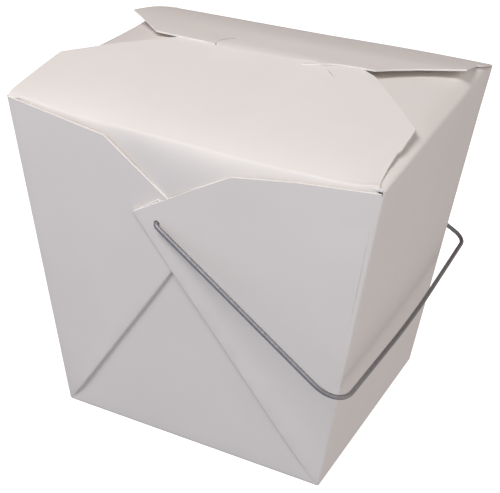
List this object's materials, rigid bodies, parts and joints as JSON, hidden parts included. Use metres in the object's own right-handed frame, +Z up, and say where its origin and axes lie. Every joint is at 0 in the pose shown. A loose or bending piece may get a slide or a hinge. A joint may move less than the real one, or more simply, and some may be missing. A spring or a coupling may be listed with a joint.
{
  "type": "noodle takeaway box",
  "caption": "Shut paperboard takeaway pail that flares from base to rim, with folded corner gussets, an interlocked flap lid and a steel wire bail that swings over the top.",
  "frame": {"origin": "middle of the base, on the surface the pail stands on", "axes": "+Z up, +X across the wider gusseted end panel towards the side where the bail hangs, -Y out of the front gusseted panel"},
  "size_m": [0.1046, 0.1006, 0.1063],
  "materials": {
    "paperboard": "unprinted white coated board, satin, with a paler cut edge",
    "bail_wire": "bright drawn steel wire"
  },
  "bodies": {
    "carton": {"carton": "paperboard"},
    "bail": {"wire_bail": "bail_wire"}
  },
  "joints": [
    {"name": "bail_swing", "type": "hinge", "parent": "carton", "child": "bail", "pos_m": [-0.0066, 0, 0.072], "axis": [0, -1, 0], "range_deg": [0, 264]}
  ]
}
